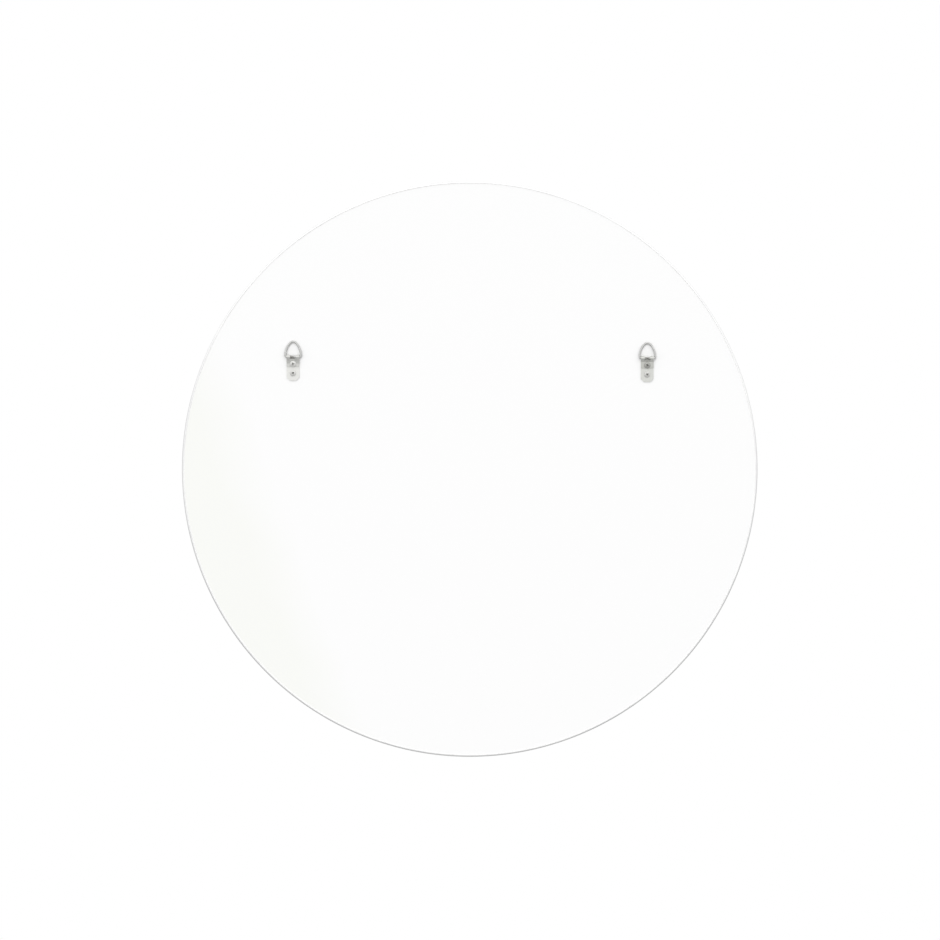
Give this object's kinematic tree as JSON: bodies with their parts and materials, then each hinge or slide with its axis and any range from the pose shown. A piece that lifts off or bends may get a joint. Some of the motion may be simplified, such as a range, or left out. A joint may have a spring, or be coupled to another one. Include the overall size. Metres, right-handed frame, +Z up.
{
  "type": "wall mirror",
  "caption": "Round wall-hung mirror in a thin metal rim, with a white backing board and folding D-ring strap hangers screwed to its back.",
  "frame": {"origin": "centre of the rim's back edge, where it meets the wall", "axes": "+Z up, +Y out of the back towards the wall, the glass faces -Y; left and right are as seen from behind, so left is +X"},
  "size_m": [0.61, 0.0239, 0.6099],
  "materials": {
    "rim_metal": "satin silver",
    "mirror": "silvered float glass",
    "board_white": "white melamine facing on fibreboard",
    "sealant": "white, satin",
    "adhesive": "off-white, rubbery",
    "foam_tape": "white foam",
    "strap_steel": "nickel plated, pressed",
    "wire_steel": "nickel plated wire",
    "screw_steel": "zinc plated"
  },
  "bodies": {
    "mirror": {"frame_rim": "rim_metal", "mirror_glass": "mirror", "backing_board": "board_white", "edge_sealant": "sealant", "adhesive_dots": "adhesive", "tape_strip_far_left": "foam_tape", "tape_strip_left": "foam_tape", "tape_strip_right": "foam_tape", "tape_strip_far_right": "foam_tape", "hanger_strap_left": "strap_steel", "hanger_screws_left": "screw_steel", "hanger_strap_right": "strap_steel", "hanger_screws_right": "screw_steel"},
    "ring_left": {"hanger_ring_left": "wire_steel"},
    "ring_right": {"hanger_ring_right": "wire_steel"}
  },
  "joints": [
    {"name": "ring_left_swing", "type": "hinge", "parent": "mirror", "child": "ring_left", "pos_m": [0.1875, 0.0017, 0.118], "axis": [-1, 0, 0], "range_deg": [0, 175]},
    {"name": "ring_right_swing", "type": "hinge", "parent": "mirror", "child": "ring_right", "pos_m": [-0.1875, 0.0017, 0.118], "axis": [-1, 0, 0], "range_deg": [0, 175]}
  ]
}
